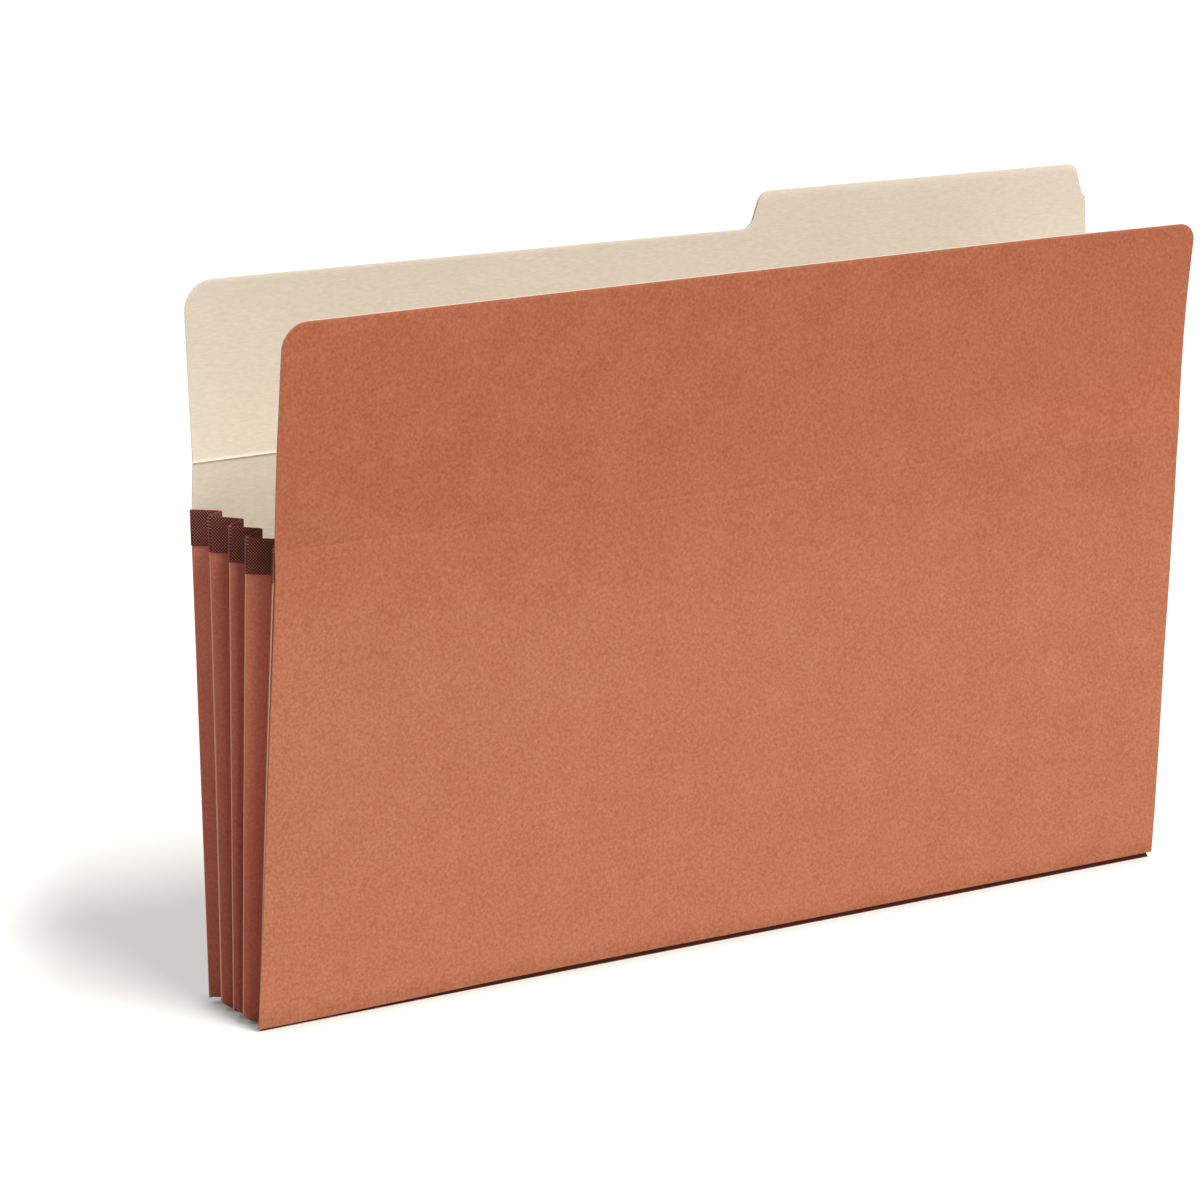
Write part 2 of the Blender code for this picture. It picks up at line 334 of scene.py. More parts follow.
class PocketGusset(bpy.types.PropertyGroup):
    """Sizes of the pleats and of the tape."""

    height: length("Height", "Height of the side gussets", 166.5)
    paper_thick: length("Paper thickness", "Thickness of the gusset paper", 0.36)
    curl: length("Fold radius", "Radius of a fold at the top of the gusset", 0.49)
    base_drop: length("Base drop", "How far the bottom gusset hangs below the panels", 0.55)
    tape_height: length("Tape height", "Height of the cloth tape", 11.8)
    tape_thick: length("Tape thickness", "Paper and tape together", 0.86)
    tape_crown: length("Tape crown", "How far the tape stands above the paper", 0.25)
    tape_round: length("Tape rounding", "Rounding of the tape's top fold", 0.22)


class PocketFinish(bpy.types.PropertyGroup):
    """Colours of the papers and of the cloth."""

    redrope_dark: colour("Redrope fibre", "Darker fibres of the face paper", "#AA6142")
    redrope_light: colour("Redrope ground", "Lighter ground of the face paper", "#C68162")
    redrope_edge: colour("Redrope edge", "Cut edge of the face paper", "#BE8D7A")
    # Painted light: both gusset colours are lighter than the face paper's, standing in for light from
    # the left
    gusset_dark: colour("Gusset fibre", "Darker fibres of the gusset paper", "#C3705A")
    gusset_light: colour("Gusset ground", "Lighter ground of the gusset paper", "#D7856E")
    # Painted shade: how much darker the gusset paper is painted in its valleys
    gusset_valley_shade: colour("Gusset valley", "What the valleys take off the gusset paper", "#DECCC4")
    # Painted shade: how much darker the gusset paper is painted towards its foot
    gusset_foot_shade: colour("Gusset foot", "What standing takes off the gusset paper's foot", "#E6D8D5")
    gusset_worn: colour("Worn fold", "Paper rubbed pale along a fold", "#EBB297")
    # Painted shadow: the pleat under the front panel is painted dark brown for the shade in the gap
    # below the panel's edge
    shadow_dark: colour("Soiled fibre", "Darker fibres of the pleat under the front", "#633627")
    shadow_light: colour("Soiled ground", "Lighter ground of the pleat under the front", "#75432F")
    manila_dark: colour("Manila fibre", "Darker streaks of the lining", "#DFD3BE")
    manila_light: colour("Manila ground", "Lighter ground of the lining", "#ECE1CF")
    manila_edge: colour("Manila edge", "Cut edge of the lining", "#EAE2D4")
    tape_thread: colour("Tape thread", "Lighter raised threads of the tape", "#B26B59")
    tape_ground: colour("Tape ground", "Dark ground of the tape", "#49211B")
    tape_worn: colour("Tape fold", "Tape rubbed pale along a fold", "#AF7065")
    # Painted shade: how much darker the face paper is painted towards its top
    redrope_top_shade: colour("Redrope tone", "What handling takes off the face paper's top", "#F4E6E2")
    # Painted shade: how much darker the lining is painted towards its top
    manila_top_shade: colour("Manila tone", "What handling takes off the lining's top", "#EAE7E6")


class PocketStage(bpy.types.PropertyGroup):
    """Camera, lights and floor."""

    lens: amount("Lens", "Focal length on a 36 mm wide sensor", 146.0, unit="CAMERA")
    yaw: angle("Yaw", "How far the view turns to the right", 32.909)
    pitch: angle("Pitch", "How far the view looks down", 13.36)
    distance: length("Distance", "From the camera to the point it looks at", 1672.8)
    aim_side: length("Aim across", "The point that the camera looks at, across", -38.8)
    aim_height: length("Aim height", "The point that the camera looks at, above the floor", 121.4)
    key_strength: amount("Key strength", "Strength of the wide light above the front", 3.7, min=0)
    key_spread: angle("Key spread", "Angle over which the key light is spread", 22)
    side_power: amount("Side power", "Power of the small light at the right", 1.2, unit="POWER")
    ambient: amount("Ambient", "Strength of the even light from all round", 0.33, min=0)
    floor: colour("Floor", "Colour of the floor", "#BCB9B3")


# Folds


def fold_of(side, pleat):
    """The number of the fold that a pleat's joint lies on; folds count from 0 at the back."""
    parent = JOINTS[f"{side}_fold_{pleat}"]["parent"]
    return pleat - 1 if parent in ("back", f"{side}_pleat_{pleat - 1}") else pleat


def open_fold(folds):
    """The one fold that no joint lies on."""
    return next(number for number in range(PLEATS + 1) if number not in folds)


def side_folds(side):
    """The corner below the floor where a side's folds meet, and each fold's direction from there."""
    ways = {}
    for pleat in range(1, PLEATS + 1):
        joint = JOINTS[f"{side}_fold_{pleat}"]
        way = Vector(joint["axis"])
        if way.z < 0:
            way.negate()
        ways[fold_of(side, pleat)] = way
        point = Vector(joint["pos_m"])
        corner = point + way * ((APEX.z - point.z) / way.z)
    missing = open_fold(ways)
    middle = ways[missing - 1]
    normal = Vector((0.0, -middle.z, middle.y)).normalized()
    mirrored = ways[missing - 2]
    ways[missing] = mirrored - normal * (2 * mirrored.dot(normal))
    return corner, ways


def bottom_folds():
    """A point on each bottom fold, at the middle of the pocket."""
    points = {}
    for pleat in range(1, PLEATS + 1):
        points[fold_of("bottom", pleat)] = Vector(JOINTS[f"bottom_fold_{pleat}"]["pos_m"])
    missing = open_fold(points)
    before, after = points[missing - 1], points[missing + 1]
    width = (before - points[missing - 2]).length
    half = (after - before) / 2
    up = ACROSS.cross(half).normalized()
    if up.z < 0:
        up.negate()
    points[missing] = before + half + up * math.sqrt(width ** 2 - half.length_squared)
    return points


# Meshes


def shaped_grid(columns, rows, place, marks=()):
    """A grid whose points go where place says; place gives a point and a value for each mark."""
    shape = bmesh.new()
    bmesh.ops.create_grid(shape, x_segments=columns, y_segments=rows, size=1.0)
    layers = [shape.verts.layers.float.new(mark) for mark in marks]
    for vert in shape.verts:
        column = round((vert.co.x + 1) / 2 * columns)
        row = round((vert.co.y + 1) / 2 * rows)
        vert.co, values = place(column, row)
        for layer, value in zip(layers, values):
            vert[layer] = value
    return shape


def thicken(shape, thick, flip):
    """Turn a grid into a closed sheet; its cut edges take the second material."""
    if flip:
        bmesh.ops.reverse_faces(shape, faces=shape.faces[:])
    shape.normal_update()
    broad = set(shape.faces)
    grown = bmesh.ops.solidify(shape, geom=shape.faces[:], thickness=thick)["geom"]
    broad.update(item for item in grown if isinstance(item, bmesh.types.BMFace))
    for face in shape.faces:
        face.smooth = True
        face.material_index = 0 if face in broad else 1
    shape.normal_update()


def round_edges(shape, size, chosen):
    """Round the chosen edges between a broad face and a cut edge."""
    edges = [
        edge for edge in shape.edges
        if len({face.material_index for face in edge.link_faces}) == 2 and chosen(edge)
    ]
    bmesh.ops.bevel(
        shape, geom=edges, offset=size, offset_type="OFFSET", segments=2, profile=0.5,
        affect="EDGES", material=-1, clamp_overlap=True,
    )


def finished(name, shape, materials):
    """Make an object of a shape, with its materials."""
    mesh = bpy.data.meshes.new(name)
    shape.to_mesh(mesh)
    shape.free()
    mesh.set_sharp_from_angle(angle=math.radians(SHARP_ANGLE))
    for material in materials:
        mesh.materials.append(material)
    piece = bpy.data.objects.new(name, mesh)
    bpy.context.scene.collection.objects.link(piece)
    return piece


# Panels


def arc_points(x, y, radius, start, end):
    """Points on an arc about a centre, from one angle to another in degrees."""
    turns = [math.radians(start + (end - start) * step / ARC_STEPS) for step in range(ARC_STEPS + 1)]
    return [(x + radius * math.cos(turn), y + radius * math.sin(turn)) for turn in turns]


def spread(first, last, steps):
    """Points between two points, without the two."""
    return [
        tuple(a + (b - a) * step / steps for a, b in zip(first, last)) for step in range(1, steps)
    ]


def eased(share):
    """A share from 0 to 1, eased in and out."""
    share = min(max(share, 0.0), 1.0)
    return share * share * (3 - 2 * share)


def front_top(sizes):
    """The front panel's top edge from left to right."""
    top = sizes.height - sizes.front_dip
    r = sizes.corner
    left = arc_points(-HALF_WIDTH + r, top - r, r, 180, 90)
    r = sizes.right_corner
    right = arc_points(HALF_WIDTH - r, top - r, r, 90, 0)
    points = left + spread(left[-1], right[0], PLAIN_COLUMNS) + right
    shares = [eased((x / HALF_WIDTH - DROOP_START) / (1 - DROOP_START)) for x, y in points]
    return [(x, y - sizes.front_droop * share) for (x, y), share in zip(points, shares)]


def back_top(sizes):
    """The back panel's top edge from left to right, with the tab at its right."""
    top = sizes.height
    crown = top + sizes.tab_height
    r = sizes.back_corner
    left = arc_points(-HALF_WIDTH + r, top - r, r, 180, 90)
    start = sizes.tab_start - HALF_WIDTH
    foot = arc_points(start, top + sizes.tab_fillet, sizes.tab_fillet, -90, SHOULDER_SLOPE - 90)
    turn = math.radians(SHOULDER_SLOPE)
    bends = sizes.tab_fillet + sizes.tab_shoulder
    straight = sizes.tab_height - bends * (1 - math.cos(turn))
    x = start + bends * math.sin(turn) + straight / math.tan(turn)
    head = arc_points(x, crown - sizes.tab_shoulder, sizes.tab_shoulder, SHOULDER_SLOPE + 90, 90)
    shoulder = foot + spread(foot[-1], head[0], SHOULDER_STEPS) + head
    end = HALF_WIDTH - sizes.tab_inset
    r = sizes.tab_radius
    corner = arc_points(end - sizes.tab_slant - r, crown - r, r, 90, TAB_ARC_END)
    step = (end, crown - sizes.tab_drop)
    foot = (HALF_WIDTH, crown - sizes.tab_drop - sizes.tab_inset)
    tail = [step] + spread(step, foot, TAIL_STEPS) + [foot]
    points = left + spread(left[-1], shoulder[0], PLAIN_COLUMNS // 2) + shoulder
    points += spread(shoulder[-1], corner[0], PLAIN_COLUMNS // 2) + corner
    points += spread(corner[-1], step, TAB_END_STEPS) + tail
    return [(x, y + sizes.back_tilt * (TILT_PIVOT - 0.5 * (x / HALF_WIDTH + 1))) for x, y in points]


def row_heights(score, fixed):
    """Heights of the rows below the shaped top, close together at the score line."""
    low, high = score - SCORE_ZONE, score + SCORE_ZONE
    heights = [low * step / LOW_STEPS for step in range(LOW_STEPS)]
    heights += [low + (high - low) * step / SCORE_STEPS for step in range(SCORE_STEPS)]
    heights += [high + (fixed - high) * step / HIGH_STEPS for step in range(HIGH_STEPS + 1)]
    return heights


def between(rows, height):
    """The values at a height, from rows that start with their height."""
    for (low, *first), (high, *second) in zip(rows, rows[1:]):
        if height <= high:
            break
    part = min(max((height - low) / (high - low), 0.0), 1.0)
    return [a + (b - a) * part for a, b in zip(first, second)]


def lean_at(leans, height, share):
    """A panel's lean at a height, at a share of the way from its left edge to its right."""
    left, right = between(leans, height / MM)
    return math.radians(left + (right - left) * share)


def leaning_line(leans, share, out):
    """A panel's cross-section at a share of its width: points, and the normals there."""
    point = Vector()
    points, normals = [], []
    for step in range(round(leans[-1][0] * MM / LEAN_STEP) + 2):
        lean = lean_at(leans, step * LEAN_STEP, share)
        points.append(point)
        normals.append(Vector((0.0, out * math.cos(lean), -math.sin(lean))))
        lean = lean_at(leans, (step + 0.5) * LEAN_STEP, share)
        point = point + Vector((0.0, out * math.sin(lean), math.cos(lean))) * LEAN_STEP
    return points, normals


def flare_at(rows, height, x):
    """How far a panel's nearer side edge bends outwards at a height."""
    return between(rows, height / MM)[0 if x < 0 else 1] * MM if rows else 0.0


def sheet_piece(name, panel, ply, sizes, materials):
    """One ply of a panel from its bottom edge to its top, bending at the score line."""
    depth = sizes.lining_depth if ply == "lining" else sizes.face_depth + sizes.face_thick
    thick = sizes.lining_thick if ply == "lining" else sizes.face_thick
    facing = -panel["out"] if ply == "lining" else panel["out"]
    top_line = panel["top"]
    fixed = sizes.height - sizes.corner - SHAPED_TOP
    heights = row_heights(panel["score"], fixed)
    rows = len(heights) - 1 + TOP_STEPS
    shares = [0.5 + x / HALF_WIDTH / 2 for x, top in top_line]
    lines = [leaning_line(panel["leans"], share, panel["out"]) for share in shares]
    left, right = panel["lifts"]
    lifts = [left + (right - left) * eased(share / LIFT_START) for share in shares]
    squeeze = 1 - panel["insets"][ply] / HALF_WIDTH

    def place(column, row):
        x, top = top_line[column]
        if row < len(heights):
            height = heights[row]
            settled = min(1.0, height / panel["score"])
            height += lifts[column] * (1 - settled)
        else:
            height = fixed + (top - fixed) * (row - len(heights) + 1) / TOP_STEPS
        points, normals = lines[column]
        step = min(int(height / LEAN_STEP), len(points) - 2)
        part = height / LEAN_STEP - step
        normal = normals[step].lerp(normals[step + 1], part).normalized()
        pressed = max(0.0, 1 - abs(height - panel["score"]) / sizes.crease_width)
        out = depth - panel["crease"] * pressed
        point = panel["start"] + points[step].lerp(points[step + 1], part) + normal * out
        flare = flare_at(panel["flares"], height, x)
        return point + ACROSS * (x * squeeze + x / HALF_WIDTH * flare), (height / MM,)

    shape = shaped_grid(len(top_line) - 1, rows, place, ("height",))
    thicken(shape, thick, facing > 0)
    round_edges(shape, sizes.edge_round, lambda edge: True)
    piece = finished(name, shape, materials)
    body = panel["name"]
    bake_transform(piece)
    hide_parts(f"{body}_{ply}", f"{body}_flap_{ply}")


def build_panel(panel):
    """A panel's redrope face and its manila lining."""
    sizes = bpy.context.scene.pocket_panels
    name = panel["name"]
    up = side_folds("left")[1][panel["fold"]]
    hinge = Vector(JOINTS[f"{name}_flap_fold"]["pos_m"])
    panel["up"] = up
    panel["start"] = APEX + up * ((hinge - APEX).dot(up) - panel["score"])
    redrope = [redrope_paper(), cut_edge(f"{name}_cut_edge", panel["edge"])]
    manila = [manila_board(), cut_edge("manila_cut_edge", "manila_edge")]
    sheet_piece(f"{name}_redrope_sheet", panel, "face", sizes, redrope)
    sheet_piece(f"{name}_manila_sheet", panel, "lining", sizes, manila)


# Strips


def base_reach():
    """From the line where the panels' planes meet to the bottom of the gusset."""
    return (bottom_folds()[0] - APEX).length


def half_base():
    """From the middle of the pocket to the corner where a side's folds meet."""
    return abs(side_folds("right")[0].x)


def pleat_way(side, pleat):
    """The direction of a side pleat, upwards along its middle."""
    ways = side_folds(side)[1]
    return (ways[pleat - 1] + ways[pleat]).normalized()


def outer_share(share, pleat):
    """A share of a strip's width counted from its outer fold; even folds are the outer ones."""
    return share if pleat % 2 == 1 else 1.0 - share


def heel_rise(distance, rise, reach):
    """How far a slanting heel lies above its foot, at a distance from the outer fold."""
    return rise * max(0.0, 1 - distance / reach) ** HEEL_CURVE


def curled_line(half_span, radius, offset):
    """A strip's cross-section: a flat middle and a quarter turn at each end, where its folds are.

    Gives for each column the place across the flat middle, the height above it and the distance to
    the nearer fold. The offset counts upwards from the strip's middle surface.
    """
    line = []
    quarter = radius * math.pi / 2
    for step in range(CURL_STEPS + 1):
        turn = math.pi * (1 + 0.5 * step / CURL_STEPS)
        reach = radius - offset
        across = -half_span + radius + reach * math.cos(turn)
        line.append((across, radius + reach * math.sin(turn), quarter * step / CURL_STEPS))
    flat = half_span - radius
    for step in range(1, FLAT_STEPS):
        across = flat * (2 * step / FLAT_STEPS - 1)
        line.append((across, offset, quarter + flat - abs(across)))
    for step in range(CURL_STEPS, -1, -1):
        turn = math.pi / 2 * step / CURL_STEPS
        reach = radius + offset
        across = flat + reach * math.cos(turn)
        line.append((across, -radius + reach * math.sin(turn), quarter * step / CURL_STEPS))
    return line


def strip_shape(first, second, along, target, span, outer, valley, thick, curl, rows):
    """A strip between two folds, with its marks.

    first and second give a point on each fold at a place along the strip, span gives the places where
    a column starts and ends from its distance to the first fold, as a share of the width, and outer
    gives its distance to the outer fold in the same way. A further argument says how strongly painted
    shade darkens it away from the outer fold.
    """
    end = span(0.5)[1]
    width = (second(end) - first(end)).length
    flat = (second(end) - first(end)) / width
    normal = along.cross(flat)
    sign = 1.0 if flat.dot(target) * normal.dot(target) > 0 else -1.0
    turn = sign * math.asin(2 * curl / width)
    across = flat * math.cos(turn) + normal * math.sin(turn)
    above = along.cross(across)
    columns = 2 * CURL_STEPS + FLAT_STEPS

    def place(column, row):
        share = curled_line(0.5, 0.0, 0.0)[column][0] + 0.5
        low, high = span(share)
        spot = low + (high - low) * row / rows
        a, b = first(spot), second(spot)
        scale = (b - a).length / width
        half_span = width / 2 * math.cos(turn) * scale
        side, rise, to_fold = curled_line(half_span, curl * scale, sign * thick / 2)[column]
        point = (a + b) / 2 + across * side + above * (sign * rise)
        depth = outer(share) * width * scale / MM
        return point, (to_fold / MM, depth, depth * valley, spot / MM)

    return shaped_grid(columns, rows, place, ("fold_distance", "depth", "valley", "along"))


def fold_line(side, number):
    """The points of a side fold by their distance from the corner; it bends towards its top."""
    corner, ways = side_folds(side)
    height = bpy.context.scene.pocket_gusset.height
    inwards = -math.copysign(MM, corner.x)
    low, press = (END_TUCK, END_PRESS * MM) if number == PLEATS else (0.0, 0.0)
    high = FOLD_TUCKS[number]

    def point(spot):
        place = corner + ways[number] * spot
        share = max(0.0, place.z) / height
        return place + Vector((inwards * (low + (high - low) * share ** 2), -press, 0.0))

    return point


def lapped_line(near, far, start):
    """The points of a fold line moved on past it, away from the near fold of the same pleat."""
    top = base_reach() + bpy.context.scene.pocket_gusset.height

    def point(spot):
        a, b = near(spot), far(spot)
        return b + (b - a).normalized() * (LAP * eased((top - spot - start) / LAP_RUN))

    return point


def side_strip(side, pleat, span, thick, rows, lap_start):
    """A strip of a side gusset; places along it are distances from the corner below the floor."""
    curl = bpy.context.scene.pocket_gusset.curl
    first, second = fold_line(side, pleat - 1), fold_line(side, pleat)
    untied = open_fold([fold_of(side, number) for number in range(1, PLEATS + 1)])
    if pleat == untied:
        second = lapped_line(first, second, lap_start)
    elif pleat == untied + 1:
        first = lapped_line(second, first, lap_start)
    return strip_shape(
        first, second, pleat_way(side, pleat), ACROSS, span, lambda share: outer_share(share, pleat),
        VALLEY_SHADES[(pleat - 1) // 2], thick, curl, rows,
    )


def top_shift(pleat, share):
    """How much higher than level a side pleat ends, at a share of its width."""
    before, after = FOLD_TOPS[pleat - 1], FOLD_TOPS[pleat]
    return (before + (after - before) * share) * MM


def build_side_pleat(side, pleat, materials):
    """One pleat of a side gusset, from the floor up."""
    sizes = bpy.context.scene.pocket_gusset
    ways = side_folds(side)[1]
    top = base_reach() + sizes.height
    along = (ways[pleat - 1] + ways[pleat]) / 2
    lift, rise, reach = (part * MM for part in FEET[(pleat - 1) // 2])
    foot = (lift - APEX.z) / along.z
    width = (ways[pleat] - ways[pleat - 1]).length * foot

    def span(share):
        heel = heel_rise(outer_share(share, pleat) * width, rise, reach)
        return foot + heel, top + top_shift(pleat, share)

    shape = side_strip(side, pleat, span, sizes.paper_thick, STRIP_ROWS, PAPER_LAP_START)
    thicken(shape, sizes.paper_thick, True)
    piece = finished(f"{side}_pleat_paper_{pleat}", shape, materials)
    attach(piece, f"{side}_pleat_{pleat}")
    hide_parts(f"{side}_pleat_{pleat}")


def build_side_tape(side, pleat, materials):
    """One length of tape over a side pleat's top edge."""
    sizes = bpy.context.scene.pocket_gusset
    top = base_reach() + sizes.height

    def span(share):
        crown = top + top_shift(pleat, share)
        return crown - sizes.tape_height, crown + sizes.tape_crown

    shape = side_strip(side, pleat, span, sizes.tape_thick, TAPE_ROWS, TAPE_LAP_START)
    thicken(shape, sizes.tape_thick, True)
    way = pleat_way(side, pleat)
    middle = sum((vert.co for vert in shape.verts), Vector()) / len(shape.verts)

    def at_top(edge):
        centre = (edge.verts[0].co + edge.verts[1].co) / 2
        run = (edge.verts[1].co - edge.verts[0].co).normalized()
        return (centre - middle).dot(way) > sizes.tape_height / 3 and abs(run.dot(way)) < 0.5

    round_edges(shape, sizes.tape_round, at_top)
    piece = finished(f"{side}_tape_cloth_{pleat}", shape, materials)
    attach(piece, f"{side}_pleat_{pleat}")
    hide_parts(f"{side}_tape_{pleat}")


def base_line(number):
    """The points of a bottom fold by their distance from the middle; it rises towards the corners."""
    start = bottom_folds()[number]
    drop = bpy.context.scene.pocket_gusset.base_drop
    corner = half_base()
    rise = BASE_ENDS[number][1] * MM

    def point(spot):
        lift = heel_rise(corner - abs(spot), rise, BASE_REACH)
        return start + Vector((spot, 0.0, lift - drop))

    return point


def build_bottom_pleat(pleat, materials):
    """One pleat of the bottom gusset, mitred at both ends."""
    sizes = bpy.context.scene.pocket_gusset
    first, second = base_line(pleat - 1), base_line(pleat)
    before, after = BASE_ENDS[pleat - 1][0], BASE_ENDS[pleat][0]
    square = BASE_ENDS[pleat - pleat % 2][2] * MM
    depth = abs(second(0.0).z - first(0.0).z)
    corner = half_base()
    upright = (first(0.0) + second(0.0)) / 2 - APEX
    curl = sizes.curl * base_reach() / (base_reach() + sizes.height)

    def span(share):
        gap = (before + (after - before) * share) * MM
        cut = outer_share(share, pleat) * depth
        return max(0.0, gap) + cut - corner, corner - gap - max(0.0, cut - square)

    shape = strip_shape(
        first, second, ACROSS, upright, span, lambda share: outer_share(share, pleat),
        BASE_VALLEY_SHADE, sizes.paper_thick, curl, STRIP_ROWS,
    )
    thicken(shape, sizes.paper_thick, True)
    piece = finished(f"bottom_pleat_paper_{pleat}", shape, materials)
    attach(piece, f"bottom_pleat_{pleat}")
    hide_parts(f"bottom_pleat_{pleat}")


# Materials


def wire(tree, node, values=(), links=()):
    """Put values on a node's sockets, and link others from the sockets of other nodes."""
    for socket, value in dict(values).items():
        node.inputs[socket].default_value = value
    for socket, source in dict(links).items():
        tree.links.new(source, node.inputs[socket])


def add(tree, kind, values=(), links=(), **settings):
    """Add a node with its own settings, and wire it."""
    made = tree.nodes.new(kind)
    for name, value in settings.items():
        setattr(made, name, value)
    wire(tree, made, values, links)
    return made


def blank(name):
    """A new node material, its tree and its shader."""
    material = bpy.data.materials.new(name)
    material.use_nodes = True
    tree = material.node_tree
    return material, tree, tree.nodes["Principled BSDF"]


def per_metre(size):
    """A noise scale whose grain has this size in millimetres."""
    return 1 / (size * MM)


def rgba(shade):
    """A colour property as a socket's four values."""
    return (*shade, 1.0)


def fibre_paper(name, dark, light, grain, cloud):
    """A matte paper of two fibre colours, with grain and clouds of these sizes in millimetres."""
    material, tree, shader = blank(name)
    place = add(tree, "ShaderNodeTexCoord")
    fine = add(
        tree, "ShaderNodeTexNoise", {"Scale": per_metre(grain), "Detail": 4.0, "Roughness": 0.62},
        {"Vector": place.outputs["Object"]},
    )
    soft = add(
        tree, "ShaderNodeTexNoise", {"Scale": per_metre(cloud), "Detail": 3.0},
        {"Vector": place.outputs["Object"]},
    )
    both = add(
        tree, "ShaderNodeMath", {1: 0.2},
        {0: soft.outputs["Fac"], 2: fine.outputs["Fac"]}, operation="MULTIPLY_ADD",
    )
    tone = add(
        tree, "ShaderNodeMapRange", {"From Min": 0.39, "From Max": 0.82}, {"Value": both.outputs[0]}
    )
    mixed = add(
        tree, "ShaderNodeMix", {MIX_A: rgba(dark), MIX_B: rgba(light)},
        {MIX_FACTOR: tone.outputs[0]}, data_type="RGBA",
    )
    bump = add(
        tree, "ShaderNodeBump", {"Strength": 0.5, "Distance": 0.06 * MM},
        {"Height": fine.outputs["Fac"]},
    )
    wire(
        tree, shader, {"Roughness": 0.82, "IOR": 1.45, "Specular IOR Level": 0.25},
        {"Normal": bump.outputs[0]},
    )
    return material, tree, shader, mixed.outputs[MIX_RESULT]


def toned(tree, shade, tone, mark, limits, most=1.0, ease="SMOOTHSTEP", blend="MULTIPLY"):
    """A colour that takes on a tone as a mesh mark goes from one limit to the other."""
    value = add(tree, "ShaderNodeAttribute", attribute_name=mark)
    share = add(
        tree, "ShaderNodeMapRange", {"From Min": limits[0], "From Max": limits[1], "To Max": most},
        {"Value": value.outputs["Fac"]}, interpolation_type=ease,
    )
    mixed = add(
        tree, "ShaderNodeMix", {MIX_B: rgba(tone)}, {MIX_FACTOR: share.outputs[0], MIX_A: shade},
        data_type="RGBA", blend_type=blend,
    )
    return mixed.outputs[MIX_RESULT]


def rubbed(tree, shade, tone, limits, most):
    """A colour that pales towards the folds."""
    return toned(tree, shade, tone, "fold_distance", limits, most, "LINEAR", "MIX")


# Redrope paper: dyed through and calendered, so it is matte, with fine mottled fibres and soft clouds;
# painted shade darkens it towards the top
def redrope_paper():
    finish = bpy.context.scene.pocket_finish
    material, tree, shader, shade = fibre_paper(
        "redrope_paper", finish.redrope_dark, finish.redrope_light, grain=1.0, cloud=16.0
    )
    # Painted shade, darker towards the top
    shade = toned(tree, shade, finish.redrope_top_shade, "height", REDROPE_TOP_SHADE)
    tree.links.new(shade, shader.inputs["Base Color"])
    return material


# Gusset paper: thinner redrope, painted lighter than the face paper to stand in for light from the
# left, with painted shade deeper in its valleys and towards its foot, and rubbed pale along worn folds
def gusset_paper(name, dark, light, wear):
    finish = bpy.context.scene.pocket_finish
    material, tree, shader, shade = fibre_paper(name, dark, light, grain=0.9, cloud=12.0)
    # Painted shade in the valleys
    shade = toned(tree, shade, finish.gusset_valley_shade, "valley", GUSSET_VALLEY_SHADE)
    # Painted shade towards the foot
    shade = toned(tree, shade, finish.gusset_foot_shade, "along", GUSSET_FOOT_SHADE)
    shade = rubbed(tree, shade, finish.gusset_worn, GUSSET_WORN, wear)
    tree.links.new(shade, shader.inputs["Base Color"])
    return material


# Manila board: pale wood pulp drawn along the width, so it has fine level streaks and a faint sheen;
# painted shade darkens it towards the top
def manila_board():
    finish = bpy.context.scene.pocket_finish
    material, tree, shader = blank("manila_board")
    place = add(tree, "ShaderNodeTexCoord")
    drawn = add(
        tree, "ShaderNodeMapping", {"Scale": (0.22, 1.0, 1.0)}, {"Vector": place.outputs["Object"]}
    )
    streak = add(
        tree, "ShaderNodeTexNoise", {"Scale": per_metre(0.6), "Detail": 4.0, "Roughness": 0.6},
        {"Vector": drawn.outputs[0]},
    )
    soft = add(
        tree, "ShaderNodeTexNoise", {"Scale": per_metre(40.0), "Detail": 2.0},
        {"Vector": place.outputs["Object"]},
    )
    both = add(
        tree, "ShaderNodeMath", {1: 0.25},
        {0: soft.outputs["Fac"], 2: streak.outputs["Fac"]}, operation="MULTIPLY_ADD",
    )
    tone = add(
        tree, "ShaderNodeMapRange", {"From Min": 0.42, "From Max": 0.84}, {"Value": both.outputs[0]}
    )
    mixed = add(
        tree, "ShaderNodeMix", {MIX_A: rgba(finish.manila_dark), MIX_B: rgba(finish.manila_light)},
        {MIX_FACTOR: tone.outputs[0]}, data_type="RGBA",
    )
    bump = add(
        tree, "ShaderNodeBump", {"Strength": 0.2, "Distance": 0.05 * MM},
        {"Height": streak.outputs["Fac"]},
    )
    # Painted shade, darker towards the top
    shade = toned(tree, mixed.outputs[MIX_RESULT], finish.manila_top_shade, "height", MANILA_TOP_SHADE)
    wire(
        tree, shader, {"Roughness": 0.62, "IOR": 1.45, "Specular IOR Level": 0.3},
        {"Base Color": shade, "Normal": bump.outputs[0]},
    )
    return material


# Cut edge: torn fibre ends without the surface dye, paler and rough
def cut_edge(name, shade):
    light = getattr(bpy.context.scene.pocket_finish, shade)
    dark = [part * EDGE_FIBRE for part in light]
    material, tree, shader, tone = fibre_paper(name, dark, light, grain=0.6, cloud=6.0)
    tree.links.new(tone, shader.inputs["Base Color"])
    return material


